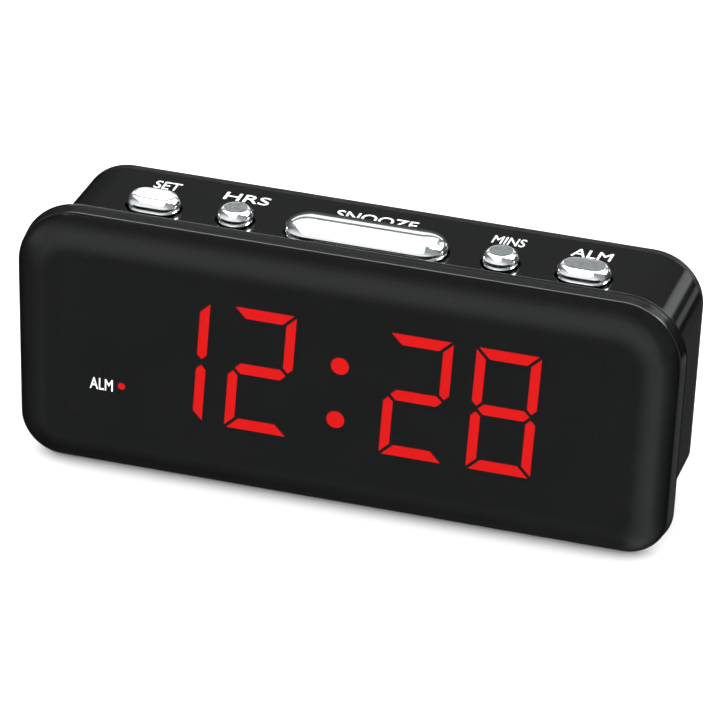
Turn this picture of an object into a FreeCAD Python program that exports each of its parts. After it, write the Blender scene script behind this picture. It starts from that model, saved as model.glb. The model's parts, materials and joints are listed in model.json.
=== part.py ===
"""LED alarm clock: a smoked lens in a flared front frame, a drafted case with five chrome keys on top,
and a rear cover with a hinged battery door.

Frame: X to the right as seen from the front, +Y to the back, +Z up, millimetres. The origin is on the
surface the clock stands on, at the middle of its width and depth. The seam is the plane where the lens
meets the front frame, and depths are counted from it towards the back.
"""

import FreeCAD, Part
import os
import re
from math import atan2, degrees, pi

import Sketcher

DIMENSIONS = {
    # Outline at the seam, seen from the front. The sides lean inwards towards the bottom.
    "seam_wide": 155.0,
    "seam_tall": 61.8,
    "seam_round_top": 14.1,
    "seam_round_bottom": 10.0,
    "side_lean": 1.55,
    "seam_y": -15.45,
    # Lens: a pillow with a flat middle and a rolled rim, plus a lip that locates it in the frame.
    "pillow_deep": 5.1,
    "rim_wide": 8.4,
    "lens_wall": 2.0,
    "lens_inset": 5.6,
    "lip_inset": 3.8,
    "lip_deep": 1.8,
    # Front frame: a ring that flares out from the seam to its rear edge.
    "rim_flare": 0.45,
    "frame_deep": 3.9,
    "frame_opening": 3.7,
    # Case: a drafted tube, drawn in from the seam outline.
    "case_inset": 3.15,
    "cover_inset": 3.66,
    "case_wall": 2.0,
    "case_end": 33.0,
    "case_round_top": 15.65,
    "case_round_bottom": 9.2,
    "tongue_inset": 3.75,
    "tongue_front": 2.1,
    # Rear cover: a shallow cap on the case.
    "cover_end": 36.0,
    "cover_wall": 1.8,
    "cover_edge": 1.5,
    # Keys on top.
    "key_y": 0.0,
    "end_key_x": 50.25,
    "end_key_long": 12.5,
    "round_key_x": 31.0,
    "key_wide": 8.4,
    "bar_long": 37.9,
    "bar_wide": 11.6,
    "bar_y": -0.5,
    "key_top": 61.9,
    "bar_top": 63.0,
    "key_edge": 1.05,
    "bar_edge": 2.9,
    "key_gap": 0.4,
    "flange_top": 56.35,
    "flange_thick": 1.0,
    "flange_reach": 1.0,
    "stem_radius": 2.0,
    # Key board and its switches.
    "key_board_z": 47.4,
    "key_board_wide": 118.0,
    "key_board_deep": 14.0,
    "board_thick": 1.6,
    "switch_side": 6.0,
    "switch_tall": 3.5,
    "plunger_radius": 1.7,
    "plunger_foot": 52.0,
    "plunger_top": 54.0,
    "plunger_gap": 0.06,
    "switch_floor": 51.3,
    # Display module and the board behind it.
    "module_wide": 120.0,
    "module_tall": 40.0,
    "module_front": -2.7,
    "module_rear": 5.8,
    "digit_z": 31.5,
    "digit_tall": 28.1,
    "digit_wide": 12.7,
    "digit_pitch": 20.25,
    "digit_middle": 18.2,
    "digit_slant": 2.9,
    "digit_shift": -0.4,
    "bar_thick": 2.25,
    "level_bar_thick": 2.65,
    "bar_gap": 0.55,
    "bar_middle_gap": 0.72,
    "bar_deep": 1.4,
    "colon_radius": 2.1,
    "colon_rise": 6.8,
    "colon_drop": 2.0,
    "alarm_dot_x": -51.3,
    "alarm_dot_drop": 9.65,
    "alarm_dot_radius": 0.85,
    "board_wide": 138.0,
    "board_tall": 44.0,
    "pin_radius": 0.3,
    "pin_long": 1.2,
    "upper_pin_x": 12.0,
    "upper_pin_pitch": 6.0,
    "upper_pin_drop": 0.6,
    "lower_pin_x": 42.0,
    "lower_pin_pitch": 4.0,
    "lower_pin_rise": 2.0,
    # Fasteners.
    "screw_radius": 1.3,
    "screw_head_radius": 2.6,
    "screw_head_tall": 1.5,
    "screw_head_gap": 0.3,
    "screw_head_sunk": 0.1,
    "screw_gap": 0.2,
    "post_radius": 3.5,
    "top_post_x": 62.0,
    "top_post_z": 52.0,
    "bottom_post_x": 66.0,
    "bottom_post_z": 11.0,
    "small_screw_radius": 0.95,
    "small_head_radius": 1.9,
    "small_head_tall": 1.2,
    "small_screw_gap": 0.15,
    "key_screw_long": 5.5,
    "board_screw_long": 6.0,
    "cover_screw_bite": 6.5,
    # Posts inside the case, with their holes.
    "board_post_top_x": 62.5,
    "board_post_top_z": 50.8,
    "board_post_bottom_x": 65.0,
    "board_post_bottom_z": 11.0,
    "key_post_outer": 39.6,
    "key_post_inner": 22.8,
    "key_post_radius": 2.3,
    "cover_post_long": 9.0,
    "cover_hole_deep": 7.5,
    "cover_rib_thick": 3.0,
    "board_post_wide": 5.6,
    "board_post_tall": 4.8,
    "board_post_long": 6.0,
    "small_hole_deep": 5.0,
    "tongue_lap": 0.1,
    "tongue_root": 1.0,
    "key_hole_deep": 7.5,
    # Battery bay in the rear cover, with its door.
    "bay_x": 7.0,
    "bay_z": 8.6,
    "bay_wide": 50.0,
    "bay_tall": 27.5,
    "bay_front": 16.5,
    "bay_wall": 1.3,
    "recess_x": 5.0,
    "recess_z": 6.6,
    "recess_wide": 54.0,
    "recess_tall": 32.0,
    "recess_deep": 2.0,
    "ledge_side": 2.4,
    "ledge_low": 0.4,
    "ledge_high": 1.6,
    "ledge_thick": 1.7,
    "wire_hole_radius": 1.6,
    "wire_hole_deep": 4.0,
    "notch_wide": 12.0,
    "notch_tall": 3.6,
    "notch_deep": 1.2,
    "door_gap": 0.3,
    "door_thick": 1.8,
    "hinge_deep": 35.0,
    "hinge_radius": 1.0,
    "hinge_pin": 0.7,
    "hinge_pin_gap": 0.05,
    "hinge_pin_long": 1.1,
    "hinge_pin_play": 0.2,
    "grip_wide": 20.0,
    "grip_tall": 0.9,
    "grip_deep": 0.5,
    "grip_drop": 5.4,
    "grip_pitch": 1.8,
    "contact_thick": 1.8,
    "contact_deep": 15.5,
    "contact_edge": 1.0,
    "stud_radius": 2.9,
    "stud_long": 2.2,
    "stud_apart": 12.7,
    "stud_y": 8.8,
    # Alarm slide switch in the rear cover.
    "slide_x": 40.0,
    "slide_z": 48.0,
    "slide_travel": 3.0,
    "slide_play": 0.4,
    "dish_wide": 15.0,
    "dish_tall": 7.0,
    "dish_deep": 0.8,
    "lever_wide": 3.0,
    "lever_tall": 2.2,
    "lever_front": 1.8,
    "lever_deep": 3.4,
    "lever_tip_edge": 0.3,
    "lever_tip_side": 0.2,
    "lever_tip_deep": 0.2,
    "lever_play": 0.3,
    "switch_body_wide": 13.0,
    "switch_body_tall": 6.0,
    "switch_body_deep": 4.6,
    "switch_room_deep": 2.0,
    # Sound slots over the buzzer.
    "vent_x": -32.0,
    "vent_z": 38.0,
    "vent_pitch": 2.6,
    "vent_wide": 22.0,
    "vent_tall": 1.3,
    # Mains transformer.
    "core_x": -42.0,
    "core_z": 8.0,
    "core_wide": 28.0,
    "core_tall": 24.0,
    "core_front": 15.0,
    "core_deep": 12.0,
    "core_yoke": 4.0,
    "bobbin_reach": 4.0,
    "strap_thick": 0.7,
    "strap_deep": 6.0,
    "strap_foot": 6.2,
    "strap_lap": 0.1,
    "lug_reach": 3.4,
    "boss_radius": 2.6,
    "boss_hole_deep": 3.0,
    "lug_screw_long": 3.5,
    "wire_radius": 0.6,
    "wire_apart": 4.0,
    "wire_rise": 14.0,
    # Parts on the display board.
    "chip_z": 26.0,
    "chip_wide": 36.0,
    "chip_tall": 9.0,
    "chip_deep": 3.8,
    "chip_lift": 0.6,
    "lead_pitch": 2.54,
    "lead_wide": 0.5,
    "lead_long": 2.6,
    "lead_thick": 0.3,
    "lead_gap": 0.9,
    "filter_z": 15.0,
    "filter_radius": 5.0,
    "filter_long": 16.0,
    "small_cap_radius": 3.1,
    "small_cap_long": 11.0,
    "diode_x": 24.0,
    "diode_z": 15.0,
    "diode_pitch": 4.0,
    "diode_radius": 1.3,
    "diode_long": 5.0,
    "resistor_x": 34.0,
    "resistor_z": 14.0,
    "resistor_pitch": 3.4,
    "resistor_radius": 1.1,
    "resistor_long": 6.3,
    "buzzer_z": 39.0,
    "buzzer_radius": 6.0,
    "buzzer_long": 7.5,
    "buzzer_hole": 1.0,
    "ribbon_wide": 16.0,
    "ribbon_thick": 0.8,
    "ribbon_low": 42.4,
    # Cord inlet and feet.
    "inlet_x": -14.0,
    "inlet_z": 12.0,
    "inlet_radius": 3.6,
    "inlet_bore": 2.6,
    "foot_x": 55.0,
    "foot_deep": 26.4,
    "foot_radius": 5.0,
    "foot_tall": 3.2,
    "foot_stem_radius": 2.0,
    "foot_stem_long": 4.0,
    "foot_stem_gap": 0.05,
    "seat_reach": 0.8,
    "seat_tall": 2.2,
    "grommet_reach": 1.0,
    "grommet_deep": 1.6,
}

SMALL = 0.01  # shortest length that still counts as a shape
NODES = []  # every finished sub-part, in the order it is made

doc = FreeCAD.newDocument("led_alarm_clock")
sizes = doc.addObject("Spreadsheet::Sheet", "Sizes")
for row, (alias, number) in enumerate(DIMENSIONS.items(), start=1):
    sizes.set(f"A{row}", alias)
    sizes.set(f"B{row}", str(number))
    sizes.setAlias(f"B{row}", alias)
doc.recompute()

WORDS = re.compile(r"\b(" + "|".join(DIMENSIONS) + r")\b")
LEAN = "cos(atan(side_lean / seam_tall))"
TOP_Z = "(rim_flare + seam_tall)"
LENS_BACK = "(seam_y - pillow_deep + lens_wall)"
ROLL = "((rim_wide^2 + pillow_deep^2) / (2 * pillow_deep))"
BOARD_BACK = "(module_rear + board_thick)"
BOARD_REAR = f"(seam_y + {BOARD_BACK})"
COVER_BACK = "(seam_y + cover_end)"
SCREW_HOLE = "small_screw_radius + small_screw_gap"


# ---------------------------------------------------------------- formulas


def link(formula):
    """The formula with every dimension's word pointing at its cell."""
    return WORDS.sub(r"Sizes.\1", str(formula))


def value(formula):
    """What the formula comes to now, in millimetres or degrees."""
    result = sizes.evalExpression(link(formula))
    return float(getattr(result, "Value", result))


def bind(item, **formulas):
    """Ties properties to formulas. A double underscore in a name stands for a dot."""
    for name, formula in formulas.items():
        item.setExpression(name.replace("__", "."), link(formula))


def keep(item, label):
    """Marks an object as a finished sub-part under its own name."""
    item.Label = label
    NODES.append(item)
    return item


# ---------------------------------------------------------------- sketches


def new_body(label):
    return keep(doc.addObject("PartDesign::Body", label), label)


def sketch_on(body, role, offset):
    """A sketch on one of the body's planes, moved to the given coordinate along the plane's axis."""
    sketch = body.newObject("Sketcher::SketchObject", "Sketch")
    plane = next(feature for feature in body.Origin.OriginFeatures if feature.Role == role)
    sketch.AttachmentSupport = (plane, "")
    sketch.MapMode = "FlatFace"
    sign = "-" if role == "XZ_Plane" else ""
    bind(sketch, AttachmentOffset__Base__z=f"{sign}({offset})")
    return sketch


def pin(sketch, curve, point, across, up):
    """Fixes one point of a curve by its two distances from the sketch's origin."""
    for kind, formula in (("DistanceX", across), ("DistanceY", up)):
        index = sketch.addConstraint(Sketcher.Constraint(kind, curve, point, value(formula)))
        bind(sketch, **{f"Constraints[{index}]": formula})


def fix_radius(sketch, curve, radius):
    index = sketch.addConstraint(Sketcher.Constraint("Radius", curve, value(radius)))
    bind(sketch, **{f"Constraints[{index}]": radius})


def polygon(sketch, corners):
    """A closed outline through corners, each fixed by its own two distances."""
    points = [FreeCAD.Vector(value(across), value(up), 0) for across, up in corners]
    first = sketch.GeometryCount
    for index, start in enumerate(points):
        end = points[(index + 1) % len(points)]
        sketch.addGeometry(Part.LineSegment(start, end), False)
    for index, (across, up) in enumerate(corners):
        following = (index + 1) % len(corners)
        sketch.addConstraint(Sketcher.Constraint("Coincident", first + index, 2, first + following, 1))
        pin(sketch, first + index, 1, across, up)


def rectangle(sketch, across, up, wide, tall):
    left, low = across, up
    right, high = f"({across}) + ({wide})", f"({up}) + ({tall})"
    polygon(sketch, [(left, low), (right, low), (right, high), (left, high)])


def disc(sketch, across, up, radius):
    centre = FreeCAD.Vector(value(across), value(up), 0)
    curve = sketch.addGeometry(Part.Circle(centre, FreeCAD.Vector(0, 0, 1), value(radius)), False)
    pin(sketch, curve, 3, across, up)
    fix_radius(sketch, curve, radius)


def round_chain(sketch, arcs):
    """A closed chain of arcs joined by tangent lines. Each arc is (across, up, radius, start, end)."""
    first = sketch.GeometryCount
    ends = []
    for across, up, radius, start, end in arcs:
        centre = FreeCAD.Vector(value(across), value(up), 0)
        circle = Part.Circle(centre, FreeCAD.Vector(0, 0, 1), value(radius))
        arc = Part.ArcOfCircle(circle, start * pi / 180, end * pi / 180)
        sketch.addGeometry(arc, False)
        ends.append((arc.StartPoint, arc.EndPoint))
    count = len(arcs)
    for index in range(count):
        following = (index + 1) % count
        sketch.addGeometry(Part.LineSegment(ends[index][1], ends[following][0]), False)
    for index, (across, up, radius, _, _) in enumerate(arcs):
        line, following = first + count + index, first + (index + 1) % count
        sketch.addConstraint(Sketcher.Constraint("Tangent", first + index, 2, line, 1))
        sketch.addConstraint(Sketcher.Constraint("Tangent", line, 2, following, 1))
        pin(sketch, first + index, 3, across, up)
        fix_radius(sketch, first + index, radius)


def slot(sketch, across, up, long, wide):
    """A stadium: a long hole or key with round ends, or a disc where long equals wide."""
    if abs(value(long) - value(wide)) < SMALL:
        disc(sketch, across, up, f"({wide}) / 2")
        return
    reach, radius = f"(({long}) - ({wide})) / 2", f"({wide}) / 2"
    right = (f"({across}) + {reach}", up, radius, -90, 90)
    left = (f"({across}) - {reach}", up, radius, 90, 270)
    round_chain(sketch, [right, left])


def front_outline(sketch, inset, top="seam_round_top", bottom="seam_round_bottom"):
    """The clock's rounded outline from the front, drawn in by inset from the seam's outline."""
    lean = degrees(atan2(value("side_lean"), value("seam_tall")))
    top_x = f"seam_wide / 2 - side_lean * {top} / seam_tall - {top} / {LEAN}"
    bottom_x = f"seam_wide / 2 - side_lean * (1 - {bottom} / seam_tall) - {bottom} / {LEAN}"
    top_z, bottom_z = f"{TOP_Z} - {top}", f"rim_flare + {bottom}"
    top_radius, bottom_radius = f"{top} - ({inset})", f"{bottom} - ({inset})"
    round_chain(
        sketch,
        [
            (top_x, top_z, top_radius, -lean, 90),
            (f"-({top_x})", top_z, top_radius, 90, 180 + lean),
            (f"-({bottom_x})", bottom_z, bottom_radius, 180 + lean, 270),
            (bottom_x, bottom_z, bottom_radius, 270, 360 - lean),
        ],
    )


def case_outline(sketch, inset):
    front_outline(sketch, inset, "case_round_top", "case_round_bottom")


# ---------------------------------------------------------------- features

PAD_REVERSED = {"back": True, "front": False, "up": False, "down": True, "right": False}
POCKET_REVERSED = {"back": False, "front": True, "up": True, "down": False, "left": False, "right": True}


def finish_feature(body, feature, grows, volume):
    """Recomputes, and stops if the feature left the solid's volume as it was."""
    doc.recompute()
    change = body.Shape.Volume - volume
    if change * grows < SMALL:
        raise RuntimeError(f"{body.Label}: {feature.Name} changed the volume by {change:.4f}")


def volume_of(body):
    return body.Shape.Volume if body.Tip and not body.Shape.isNull() else 0.0


def pad(body, sketch, length, towards):
    before = volume_of(body)
    feature = body.newObject("PartDesign::Pad", "Pad")
    feature.Profile = sketch
    feature.Reversed = PAD_REVERSED[towards]
    bind(feature, Length=length)
    finish_feature(body, feature, 1, before)


def pocket(body, sketch, length, towards):
    before = volume_of(body)
    feature = body.newObject("PartDesign::Pocket", "Pocket")
    feature.Profile = sketch
    feature.Reversed = POCKET_REVERSED[towards]
    bind(feature, Length=length)
    finish_feature(body, feature, -1, before)


def loft(body, start, end, hollow=False):
    """A straight loft from one sketch to another, added or taken away."""
    before = volume_of(body)
    kind = "PartDesign::SubtractiveLoft" if hollow else "PartDesign::AdditiveLoft"
    feature = body.newObject(kind, "Loft")
    feature.Profile = start
    feature.Sections = [end]
    feature.Ruled = True
    finish_feature(body, feature, -1 if hollow else 1, before)


def round_edges(body, radius, wanted):
    """Rounds the edges of the body that the test picks."""
    before = volume_of(body)
    base = body.Tip
    names = [f"Edge{number}" for number, edge in enumerate(base.Shape.Edges, start=1) if wanted(edge)]
    feature = body.newObject("PartDesign::Fillet", "Fillet")
    feature.Base = (base, names)
    bind(feature, Radius=radius)
    finish_feature(body, feature, -1, before)


def edges_at(axis, coordinate):
    """A test for edges that lie in the plane where the axis has the given value."""
    place = value(coordinate)

    def wanted(edge):
        box = edge.BoundBox
        low, high = getattr(box, f"{axis}Min"), getattr(box, f"{axis}Max")
        return abs(low - place) < SMALL and abs(high - place) < SMALL

    return wanted


# ---------------------------------------------------------------- primitives and booleans


def block(x, y, z, wide, deep, tall, label="Block"):
    """A box from its lowest corner."""
    box = doc.addObject("Part::Box", label)
    bind(box, Length=wide, Width=deep, Height=tall)
    bind(box, Placement__Base__x=x, Placement__Base__y=y, Placement__Base__z=z)
    return box


TURNS = {
    "x": FreeCAD.Rotation(FreeCAD.Vector(0, 1, 0), 90),
    "y": FreeCAD.Rotation(FreeCAD.Vector(1, 0, 0), -90),
    "z": FreeCAD.Rotation(),
}


def rod(axis, x, y, z, radius, length, label="Rod"):
    """A cylinder that starts at a point and runs along +X, +Y or +Z."""
    cylinder = doc.addObject("Part::Cylinder", label)
    cylinder.Placement = FreeCAD.Placement(FreeCAD.Vector(), TURNS[axis])
    bind(cylinder, Radius=radius, Height=length)
    bind(cylinder, Placement__Base__x=x, Placement__Base__y=y, Placement__Base__z=z)
    return cylinder


def fuse(*members, label="Fusion"):
    joined = doc.addObject("Part::MultiFuse", label)
    joined.Shapes = list(members)
    joined.Refine = True
    return joined


def cut(base, *tools, label="Cut"):
    result = doc.addObject("Part::Cut", label)
    result.Base = base
    result.Tool = tools[0] if len(tools) == 1 else fuse(*tools)
    return result


def group(label, members):
    """Separate solids that share one node."""
    compound = doc.addObject("Part::Compound", label)
    compound.Links = list(members)
    return keep(compound, label)


def screw(axis, x, y, z, length, small, head_first):
    """A screw along an axis. Its head is at the low end where head_first is true, else at the high end."""
    shank_radius = "small_screw_radius" if small else "screw_radius"
    head_radius = "small_head_radius" if small else "screw_head_radius"
    head_tall = "small_head_tall" if small else "screw_head_tall"
    places = {"x": x, "y": y, "z": z}
    shank = rod(axis, x, y, z, shank_radius, length)
    places[axis] = f"({places[axis]}) - {head_tall}" if head_first else f"({places[axis]}) + ({length})"
    head = rod(axis, places["x"], places["y"], places["z"], head_radius, head_tall)
    return fuse(shank, head)


# ---------------------------------------------------------------- housing

KEYS = [
    # name, x, y, long, wide, top
    ("time_set", "-end_key_x", "key_y", "end_key_long", "key_wide", "key_top"),
    ("hour", "-round_key_x", "key_y", "key_wide", "key_wide", "key_top"),
    ("snooze", "0", "bar_y", "bar_long", "bar_wide", "bar_top"),
    ("minute", "round_key_x", "key_y", "key_wide", "key_wide", "key_top"),
    ("alarm_set", "end_key_x", "key_y", "end_key_long", "key_wide", "key_top"),
]
COVER_POSTS = [
    (f"{side}{x}", z)
    for side in ("", "-")
    for x, z in (("top_post_x", "top_post_z"), ("bottom_post_x", "bottom_post_z"))
]
BOARD_POSTS = [
    (f"{side}{x}", z)
    for side in ("", "-")
    for x, z in (("board_post_top_x", "board_post_top_z"), ("board_post_bottom_x", "board_post_bottom_z"))
]
KEY_POSTS = ["-key_post_outer", "-key_post_inner", "key_post_inner", "key_post_outer"]
LUGS = ["core_x - core_wide / 2 - lug_reach", "core_x + core_wide / 2 + lug_reach"]
LUG_Y = "seam_y + core_front + core_deep / 2"
LEVER_CORNER = ("slide_x - lever_wide - slide_play", "slide_z - lever_tall / 2 - lever_play")
LEVER_WAY = "lever_wide + slide_travel + 2 * slide_play"


def make_front_lens():
    """A block with its front edge rolled, cut off at the seam and hollowed from behind."""
    lens = new_body("front_lens")
    front = "seam_y - pillow_deep"
    blank = sketch_on(lens, "XZ_Plane", front)
    front_outline(blank, f"rim_wide - {ROLL}")
    pad(lens, blank, f"{ROLL} + 1", "back")
    round_edges(lens, ROLL, edges_at("Y", front))
    trim = sketch_on(lens, "XZ_Plane", "seam_y")
    rectangle(trim, "-seam_wide", "-seam_tall", "2 * seam_wide", "3 * seam_tall")
    pocket(lens, trim, "2 * pillow_deep", "back")
    hollow = sketch_on(lens, "XZ_Plane", "seam_y")
    front_outline(hollow, "lens_inset")
    pocket(lens, hollow, "pillow_deep - lens_wall", "front")
    lip = sketch_on(lens, "XZ_Plane", "seam_y")
    front_outline(lip, "lip_inset")
    front_outline(lip, "lens_inset")
    pad(lens, lip, "lip_deep", "back")


def make_front_frame():
    """The flared ring between the lens and the case."""
    frame = new_body("front_frame")
    front, back = (sketch_on(frame, "XZ_Plane", place) for place in ("seam_y", "seam_y + frame_deep"))
    front_outline(front, "0")
    front_outline(back, "-rim_flare")
    loft(frame, front, back)
    opening = sketch_on(frame, "XZ_Plane", "seam_y")
    front_outline(opening, "frame_opening")
    pocket(frame, opening, "frame_deep", "back")


def add_case_posts(case):
    """Posts for the cover screws, the display board and the key board, each tied to a wall by a rib."""
    for x, z in COVER_POSTS:
        down = z == "bottom_post_z"
        rib_low = "rim_flare + cover_inset + case_wall / 2" if down else z
        rib_high = z if down else f"{TOP_Z} - cover_inset - case_wall / 2"
        start = "seam_y + case_end - cover_post_long"
        rib = sketch_on(case, "XZ_Plane", start)
        left = f"({x}) - cover_rib_thick / 2"
        rectangle(rib, left, rib_low, "cover_rib_thick", f"({rib_high}) - ({rib_low})")
        pad(case, rib, "cover_post_long", "back")
        post = sketch_on(case, "XZ_Plane", start)
        disc(post, x, z, "post_radius")
        pad(case, post, "cover_post_long", "back")
        hole = sketch_on(case, "XZ_Plane", "seam_y + case_end")
        disc(hole, x, z, "screw_radius")
        pocket(case, hole, "cover_hole_deep", "front")
    for x, z in BOARD_POSTS:
        down = z == "board_post_bottom_z"
        low = "rim_flare + case_inset + case_wall / 2" if down else f"({z}) - board_post_tall / 2"
        high = f"({z}) + board_post_tall / 2" if down else f"{TOP_Z} - case_inset - case_wall / 2"
        post = sketch_on(case, "XZ_Plane", f"seam_y + {BOARD_BACK}")
        left = f"({x}) - board_post_wide / 2"
        rectangle(post, left, low, "board_post_wide", f"({high}) - ({low})")
        pad(case, post, "board_post_long", "back")
        hole = sketch_on(case, "XZ_Plane", f"seam_y + {BOARD_BACK}")
        disc(hole, x, z, "small_screw_radius")
        pocket(case, hole, "small_hole_deep", "back")
    for x in KEY_POSTS:
        post = sketch_on(case, "XY_Plane", "key_board_z + board_thick")
        disc(post, x, "key_y", "key_post_radius")
        pad(case, post, f"{TOP_Z} - case_inset - case_wall / 2 - key_board_z - board_thick", "up")
        hole = sketch_on(case, "XY_Plane", "key_board_z + board_thick")
        disc(hole, x, "key_y", "small_screw_radius")
        pocket(case, hole, "small_hole_deep", "up")


def make_main_case():
    """The drafted tube with key holes in its top, screw posts inside and foot seats underneath."""
    case = new_body("main_case")
    front, back = "seam_y + frame_deep", "seam_y + case_end"
    for hollow, extra in ((False, "0"), (True, "case_wall")):
        start, end = (sketch_on(case, "XZ_Plane", place) for place in (front, back))
        case_outline(start, f"case_inset + {extra}")
        case_outline(end, f"cover_inset + {extra}")
        loft(case, start, end, hollow)
    tongue = sketch_on(case, "XZ_Plane", f"{front} + tongue_root")
    front_outline(tongue, "tongue_inset")
    front_outline(tongue, "case_inset + case_wall + tongue_lap")
    pad(case, tongue, "frame_deep - tongue_front + tongue_root", "front")
    for _, x, y, long, wide, _ in KEYS:
        hole = sketch_on(case, "XY_Plane", f"{TOP_Z}")
        slot(hole, x, y, f"{long} + 2 * key_gap", f"{wide} + 2 * key_gap")
        pocket(case, hole, "key_hole_deep", "down")
    add_case_posts(case)
    for side in ("", "-"):
        seat = sketch_on(case, "XY_Plane", "foot_tall")
        disc(seat, f"{side}foot_x", "seam_y + foot_deep", "foot_radius + seat_reach")
        pad(case, seat, "seat_tall", "up")
        hole = sketch_on(case, "XY_Plane", "foot_tall")
        disc(hole, f"{side}foot_x", "seam_y + foot_deep", "foot_stem_radius + foot_stem_gap")
        pocket(case, hole, "foot_stem_long", "up")
    for x in LUGS:
        boss = sketch_on(case, "XY_Plane", "core_z")
        disc(boss, x, LUG_Y, "boss_radius")
        pad(case, boss, "core_z - rim_flare - cover_inset - case_wall / 2", "down")
        hole = sketch_on(case, "XY_Plane", "core_z")
        disc(hole, x, LUG_Y, "small_screw_radius")
        pocket(case, hole, "boss_hole_deep", "down")


def make_rear_cover():
    """A cap with the battery bay, the door's recess and hinge sockets, screw bosses and openings."""
    cover = new_body("rear_cover")
    front, inside = "seam_y + case_end", f"{COVER_BACK} - cover_wall"
    shell = sketch_on(cover, "XZ_Plane", front)
    case_outline(shell, "cover_inset")
    pad(cover, shell, "cover_end - case_end", "back")
    round_edges(cover, "cover_edge", edges_at("Y", COVER_BACK))
    hollow = sketch_on(cover, "XZ_Plane", front)
    case_outline(hollow, "cover_inset + case_wall")
    pocket(cover, hollow, "cover_end - case_end - cover_wall", "back")
    for x, z in COVER_POSTS:
        boss = sketch_on(cover, "XZ_Plane", inside)
        disc(boss, x, z, "post_radius")
        pad(cover, boss, "cover_end - case_end - cover_wall", "front")
        head = sketch_on(cover, "XZ_Plane", COVER_BACK)
        disc(head, x, z, "screw_head_radius + screw_head_gap")
        pocket(cover, head, "screw_head_tall + screw_head_sunk", "front")
        hole = sketch_on(cover, "XZ_Plane", COVER_BACK)
        disc(hole, x, z, "screw_radius + screw_gap")
        pocket(cover, hole, "cover_end - case_end", "front")
    ledge = sketch_on(cover, "XZ_Plane", inside)
    rectangle(
        ledge,
        "recess_x - ledge_side",
        "recess_z - ledge_low",
        "recess_wide + 2 * ledge_side",
        "recess_tall + ledge_low + ledge_high",
    )
    pad(cover, ledge, "ledge_thick", "front")
    bay = sketch_on(cover, "XZ_Plane", inside)
    rectangle(
        bay, "bay_x - bay_wall", "bay_z - bay_wall", "bay_wide + 2 * bay_wall", "bay_tall + 2 * bay_wall"
    )
    pad(cover, bay, "cover_end - cover_wall - bay_front + bay_wall", "front")
    well = sketch_on(cover, "XZ_Plane", COVER_BACK)
    rectangle(well, "bay_x", "bay_z", "bay_wide", "bay_tall")
    pocket(cover, well, "cover_end - bay_front", "front")
    recess = sketch_on(cover, "XZ_Plane", COVER_BACK)
    rectangle(recess, "recess_x", "recess_z", "recess_wide", "recess_tall")
    pocket(cover, recess, "recess_deep", "front")
    add_cover_details(cover, inside)


def add_cover_details(cover, inside):
    """Hinge sockets, finger notch, wire hole, switch slot, sound slots and the cord inlet's hole."""
    hinge_z = "recess_z + door_gap + hinge_radius"
    for start, towards in (("recess_x", "left"), ("recess_x + recess_wide", "right")):
        socket = sketch_on(cover, "YZ_Plane", start)
        disc(socket, "seam_y + hinge_deep", hinge_z, "hinge_pin + hinge_pin_gap")
        pocket(cover, socket, "hinge_pin_long + hinge_pin_play", towards)
    notch = sketch_on(cover, "XZ_Plane", COVER_BACK)
    slot(notch, "recess_x + recess_wide / 2", "recess_z + recess_tall", "notch_wide", "notch_tall")
    pocket(cover, notch, "notch_deep", "front")
    wires = sketch_on(cover, "YZ_Plane", "bay_x")
    disc(wires, "seam_y + bay_front + wire_hole_deep", "bay_z + bay_tall / 2", "wire_hole_radius")
    pocket(cover, wires, "bay_wall", "left")
    dish = sketch_on(cover, "XZ_Plane", COVER_BACK)
    slot(dish, "slide_x", "slide_z", "dish_wide", "dish_tall")
    pocket(cover, dish, "dish_deep", "front")
    lever_way = sketch_on(cover, "XZ_Plane", COVER_BACK)
    rectangle(lever_way, *LEVER_CORNER, LEVER_WAY, "lever_tall + 2 * lever_play")
    pocket(cover, lever_way, "cover_wall", "front")
    for index in range(6):
        vent = sketch_on(cover, "XZ_Plane", COVER_BACK)
        slot(vent, "vent_x", f"vent_z + {index} * vent_pitch", "vent_wide", "vent_tall")
        pocket(cover, vent, "cover_wall", "front")
    inlet = sketch_on(cover, "XZ_Plane", COVER_BACK)
    disc(inlet, "inlet_x", "inlet_z", "inlet_radius")
    pocket(cover, inlet, "cover_wall", "front")


def make_battery_door():
    """A plate whose lower edge is a round hinge barrel with a pin at each end."""
    door = new_body("battery_door")
    hinge_z = "recess_z + door_gap + hinge_radius"
    plate = sketch_on(door, "XZ_Plane", f"{COVER_BACK} - door_thick")
    rectangle(
        plate,
        "recess_x + door_gap",
        hinge_z,
        "recess_wide - 2 * door_gap",
        "recess_tall - 2 * door_gap - hinge_radius",
    )
    pad(door, plate, "door_thick", "back")
    barrel = sketch_on(door, "YZ_Plane", "recess_x + door_gap")
    disc(barrel, "seam_y + hinge_deep", hinge_z, "hinge_radius")
    pad(door, barrel, "recess_wide - 2 * door_gap", "right")
    pins = sketch_on(door, "YZ_Plane", "recess_x - hinge_pin_long")
    disc(pins, "seam_y + hinge_deep", hinge_z, "hinge_pin")
    pad(door, pins, "recess_wide + 2 * hinge_pin_long", "right")
    for index in range(5):
        groove = sketch_on(door, "XZ_Plane", COVER_BACK)
        height = f"recess_z + recess_tall - grip_drop - {index} * grip_pitch"
        slot(groove, "recess_x + recess_wide / 2", height, "grip_wide", "grip_tall")
        pocket(door, groove, "grip_deep", "front")


# ---------------------------------------------------------------- keys


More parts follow.
